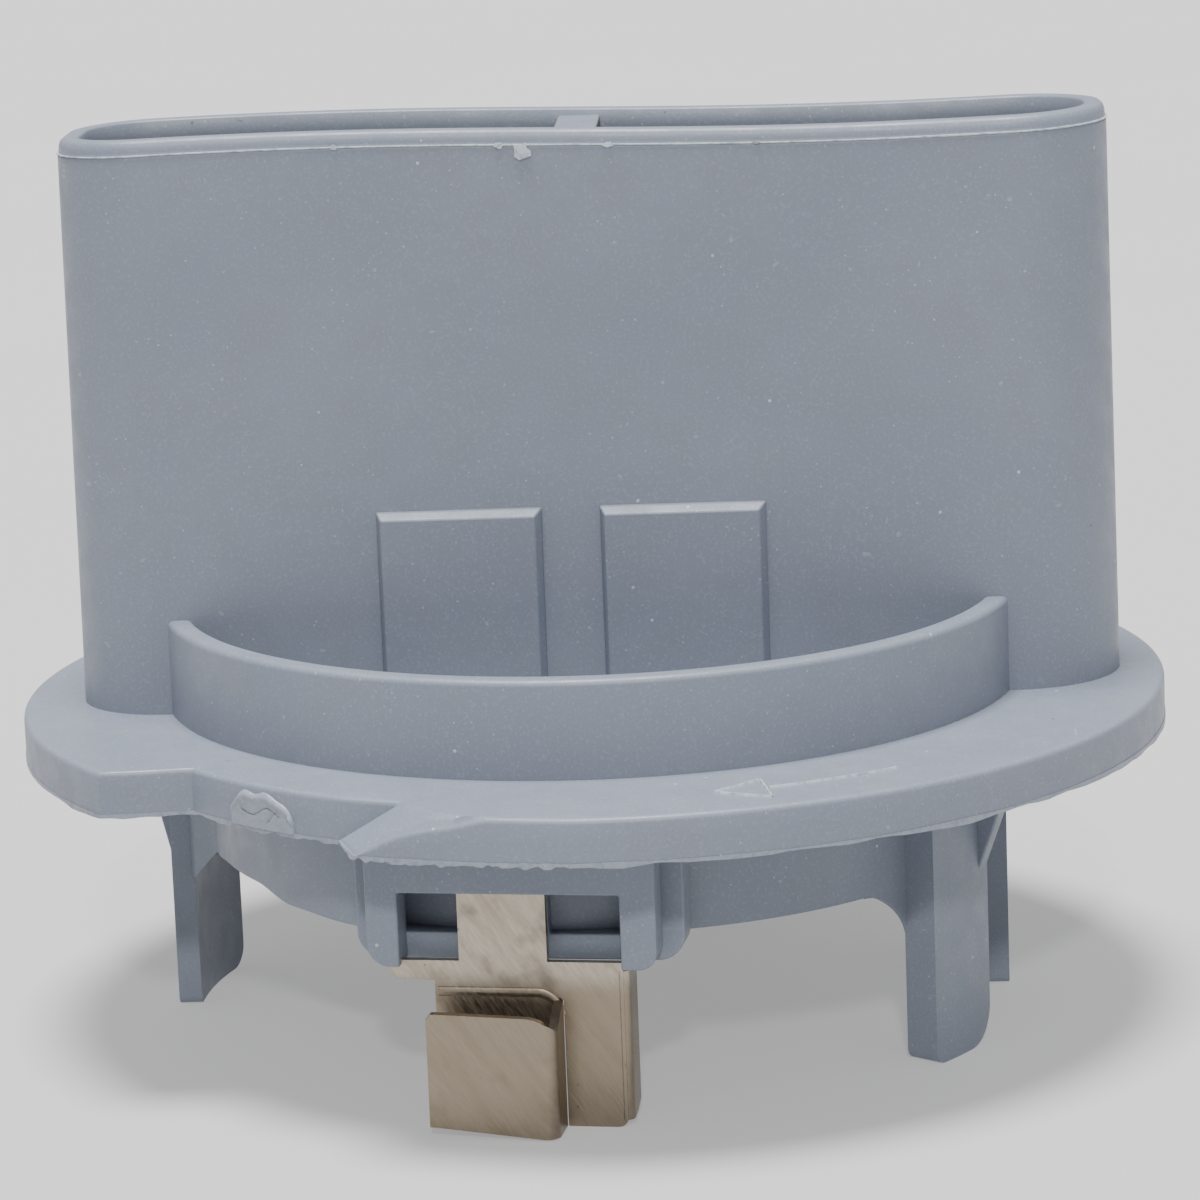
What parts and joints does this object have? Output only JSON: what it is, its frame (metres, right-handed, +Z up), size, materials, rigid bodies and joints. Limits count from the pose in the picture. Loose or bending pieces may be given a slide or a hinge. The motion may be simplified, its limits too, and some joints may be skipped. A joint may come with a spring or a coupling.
{
  "type": "twist-in lamp holder cap",
  "caption": "Hollow oblong plastic grip on a round notched flange, with a guide skirt, legs and plated spring contacts below that lock by a turn.",
  "frame": {"origin": "on the flange's axis, in the plane of the feet of the three legs", "axes": "+Z up along the flange's axis, out of the grip's open end; -Y towards the front contact; X along the grip's length"},
  "size_m": [0.06, 0.06, 0.0473],
  "materials": {
    "moulding": "fine satin, moulded blue-grey",
    "plated_contact": "warm satin plate over rolled spring strip"
  },
  "bodies": {
    "cap": {"flange": "moulding", "turn_arrow": "moulding", "grip_sleeve": "moulding", "grip_divider": "moulding", "front_guard_wall": "moulding", "rear_guard_wall": "moulding", "front_left_pad": "moulding", "front_right_pad": "moulding", "rear_left_pad": "moulding", "rear_right_pad": "moulding", "guide_skirt": "moulding", "front_leg": "moulding", "left_leg": "moulding", "right_leg": "moulding", "left_leg_bridge": "moulding", "left_leg_gusset": "moulding", "front_leg_gusset": "moulding", "terminal_block": "moulding", "front_bracket_base": "moulding", "front_bracket_frame": "moulding", "rear_bracket_base": "moulding", "rear_bracket_frame": "moulding", "front_contact_strip": "plated_contact", "front_contact_link": "plated_contact", "front_jaw_bend": "plated_contact", "front_lamp_terminal": "plated_contact", "rear_contact_strip": "plated_contact", "rear_contact_link": "plated_contact", "rear_jaw_bend": "plated_contact", "rear_lamp_terminal": "plated_contact"},
    "front_jaw_leaf": {"front_jaw_leaf": "plated_contact"},
    "front_lamp_spring": {"front_lamp_spring": "plated_contact"},
    "rear_jaw_leaf": {"rear_jaw_leaf": "plated_contact"},
    "rear_lamp_spring": {"rear_lamp_spring": "plated_contact"}
  },
  "joints": [
    {"name": "front_jaw_flex", "type": "hinge", "parent": "cap", "child": "front_jaw_leaf", "pos_m": [-0.00201, -0.02465, 0.0032], "axis": [0, 0, 1], "range_deg": [0, 8], "stiffness_Nm_per_rad": 0.02},
    {"name": "front_lamp_spring_flex", "type": "hinge", "parent": "cap", "child": "front_lamp_spring", "pos_m": [-0.00085, -0.00569, 0.0136], "axis": [-0.989, 0.1478, 0], "range_deg": [0, 12], "stiffness_Nm_per_rad": 0.02},
    {"name": "rear_jaw_flex", "type": "hinge", "parent": "cap", "child": "rear_jaw_leaf", "pos_m": [0.00201, 0.02465, 0.0032], "axis": [0, 0, 1], "range_deg": [0, 8], "stiffness_Nm_per_rad": 0.02},
    {"name": "rear_lamp_spring_flex", "type": "hinge", "parent": "cap", "child": "rear_lamp_spring", "pos_m": [0.00085, 0.00569, 0.0136], "axis": [0.989, -0.1478, 0], "range_deg": [0, 12], "stiffness_Nm_per_rad": 0.02}
  ]
}
